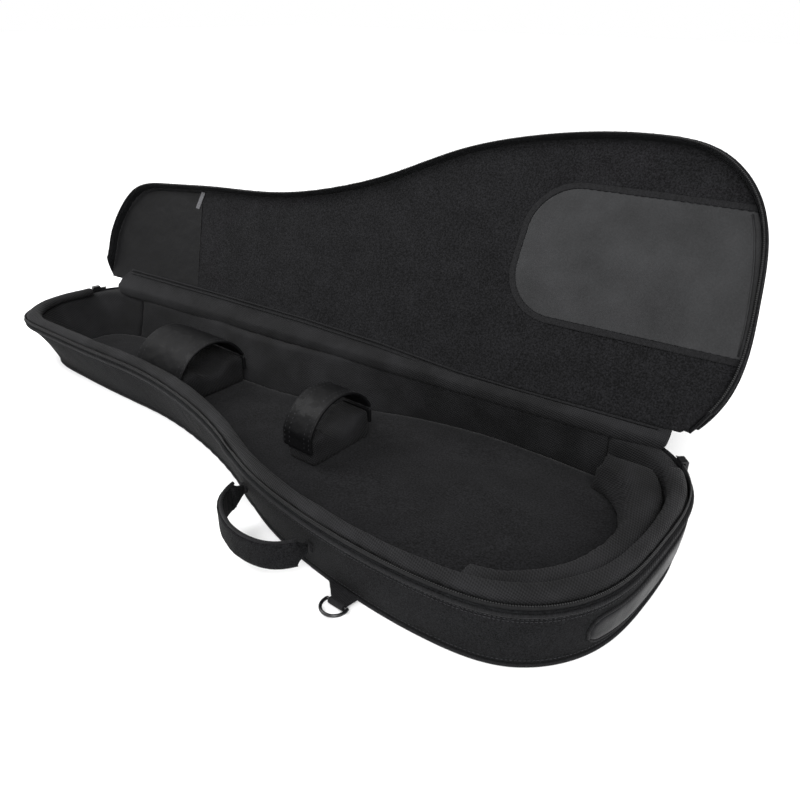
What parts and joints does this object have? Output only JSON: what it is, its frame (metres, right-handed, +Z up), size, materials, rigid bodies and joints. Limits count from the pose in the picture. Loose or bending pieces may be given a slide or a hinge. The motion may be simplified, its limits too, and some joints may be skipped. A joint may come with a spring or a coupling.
{
  "type": "padded gig bag",
  "caption": "Open padded gig bag for a long-necked electric bass: padded tray with neck cradle straps and tail cushion, zipped folding lid, carry handle and pockets.",
  "frame": {"origin": "middle of the underside of the bottom panel, on the ground", "axes": "+X towards the tail (body end) along the bag's length, +Y towards the fold of the lid, +Z up; the lid stands open past vertical"},
  "size_m": [1.2029, 0.6631, 0.4398],
  "materials": {
    "outer_fabric": "woven polyester melange",
    "mesh_fabric": "air mesh",
    "plush_fabric": "plush",
    "smooth_fabric": "smooth lining",
    "leatherette": "satin",
    "satin_vinyl": "satin",
    "webbing": "ribbed webbing",
    "zip_tape": "woven tape",
    "zip_coil": "satin",
    "black_metal": "gloss",
    "gloss_black": "gloss",
    "hook_tape": "matte",
    "tag_cloth": "woven label"
  },
  "bodies": {
    "tray": {"bottom_panel": "outer_fabric", "outer_wall": "outer_fabric", "bottom_piping": "webbing", "rim_piping": "webbing", "padding_head": "mesh_fabric", "padding_near": "mesh_fabric", "padding_far": "mesh_fabric", "padding_tail": "mesh_fabric", "floor_padding": "plush_fabric", "padded_collar": "mesh_fabric", "tail_cushion": "mesh_fabric", "hinge_gusset": "smooth_fabric", "base_zip_tape": "zip_tape", "base_zip_teeth": "zip_coil", "neck_block": "mesh_fabric", "heel_block": "mesh_fabric", "neck_hook_patch": "hook_tape", "heel_hook_patch": "hook_tape", "neck_strap_root": "leatherette", "heel_strap_root": "leatherette", "handle_anchors": "webbing", "ring_tab_near": "webbing", "ring_tab_far": "webbing", "scuff_guard": "satin_vinyl", "scuff_guard_piping": "webbing"},
    "lid": {"lid_panel": "outer_fabric", "lid_lining": "plush_fabric", "lid_gusset": "outer_fabric", "lid_edge_piping": "webbing", "lid_rim_piping": "webbing", "lid_zip_tape": "zip_tape", "lid_zip_teeth": "zip_coil", "headstock_panel": "leatherette", "label_tag": "tag_cloth", "bridge_guard": "satin_vinyl", "bridge_guard_binding": "webbing", "body_pocket": "outer_fabric", "neck_pocket": "outer_fabric", "body_pocket_zip": "zip_tape", "neck_pocket_zip": "zip_tape"},
    "neck_strap": {"neck_strap": "leatherette"},
    "heel_strap": {"heel_strap": "leatherette"},
    "carry_handle": {"carry_handle": "outer_fabric"},
    "d_ring_near": {"d_ring_near": "gloss_black"},
    "d_ring_far": {"d_ring_far": "gloss_black"},
    "zip_slider_tail": {"zip_slider_tail": "black_metal"},
    "zip_pull_tail": {"zip_pull_tail": "gloss_black"},
    "zip_slider_head": {"zip_slider_head": "black_metal"},
    "zip_pull_head": {"zip_pull_head": "gloss_black"},
    "body_pocket_slider": {"body_pocket_slider": "black_metal"},
    "body_pocket_pull": {"body_pocket_pull": "gloss_black"},
    "neck_pocket_slider": {"neck_pocket_slider": "black_metal"},
    "neck_pocket_pull": {"neck_pocket_pull": "gloss_black"}
  },
  "joints": [
    {"name": "lid_hinge", "type": "hinge", "parent": "tray", "child": "lid", "pos_m": [-0.515, 0.0825, 0.097], "axis": [-0.9946, -0.1039, 0], "range_deg": [-120.7, 12]},
    {"name": "neck_strap_hinge", "type": "hinge", "parent": "tray", "child": "neck_strap", "pos_m": [-0.225, 0.064, 0.061], "axis": [-1, 0, 0], "range_deg": [0, 45]},
    {"name": "heel_strap_hinge", "type": "hinge", "parent": "tray", "child": "heel_strap", "pos_m": [0.092, 0.062, 0.061], "axis": [-1, 0, 0], "range_deg": [0, 45]},
    {"name": "carry_handle_hinge", "type": "hinge", "parent": "tray", "child": "carry_handle", "pos_m": [0.19, -0.206, 0.044], "axis": [-0.979, 0.204, 0], "range_deg": [-15, 30]},
    {"name": "d_ring_near_hinge", "type": "hinge", "parent": "tray", "child": "d_ring_near", "pos_m": [0.322, -0.2295, 0.0054], "axis": [-1, 0, 0], "range_deg": [0, 140]},
    {"name": "d_ring_far_hinge", "type": "hinge", "parent": "tray", "child": "d_ring_far", "pos_m": [0.322, 0.2295, 0.0054], "axis": [1, 0, 0], "range_deg": [0, 140]},
    {"name": "zip_slider_tail_slide", "type": "slide", "parent": "tray", "child": "zip_slider_tail", "axis": [0.6841, -0.7294, 0], "range_m": [0, 0.005]},
    {"name": "zip_pull_tail_hinge", "type": "hinge", "parent": "zip_slider_tail", "child": "zip_pull_tail", "pos_m": [0.54895, 0.17092, 0.088], "axis": [0.6841, -0.7294, 0], "range_deg": [0, 95]},
    {"name": "zip_slider_head_slide", "type": "slide", "parent": "tray", "child": "zip_slider_head", "axis": [-0.15, -0.9887, 0], "range_m": [0, 0.005]},
    {"name": "zip_pull_head_hinge", "type": "hinge", "parent": "zip_slider_head", "child": "zip_pull_head", "pos_m": [-0.59014, 0.05275, 0.088], "axis": [0.15, 0.9887, 0], "range_deg": [0, 95]},
    {"name": "body_pocket_slide", "type": "slide", "parent": "lid", "child": "body_pocket_slider", "axis": [-0.9837, -0.1561, -0.0894], "range_m": [0, 0.288]},
    {"name": "body_pocket_pull_hinge", "type": "hinge", "parent": "body_pocket_slider", "child": "body_pocket_pull", "pos_m": [0.40409, 0.38589, 0.33796], "axis": [0.1561, -0.4942, -0.8552], "range_deg": [0, 160]},
    {"name": "neck_pocket_slide", "type": "slide", "parent": "lid", "child": "neck_pocket_slider", "axis": [-0.9837, -0.1561, -0.0894], "range_m": [0, 0.288]},
    {"name": "neck_pocket_pull_hinge", "type": "hinge", "parent": "neck_pocket_slider", "child": "neck_pocket_pull", "pos_m": [-0.19451, 0.25106, 0.22473], "axis": [0.1561, -0.4942, -0.8552], "range_deg": [0, 160]}
  ]
}
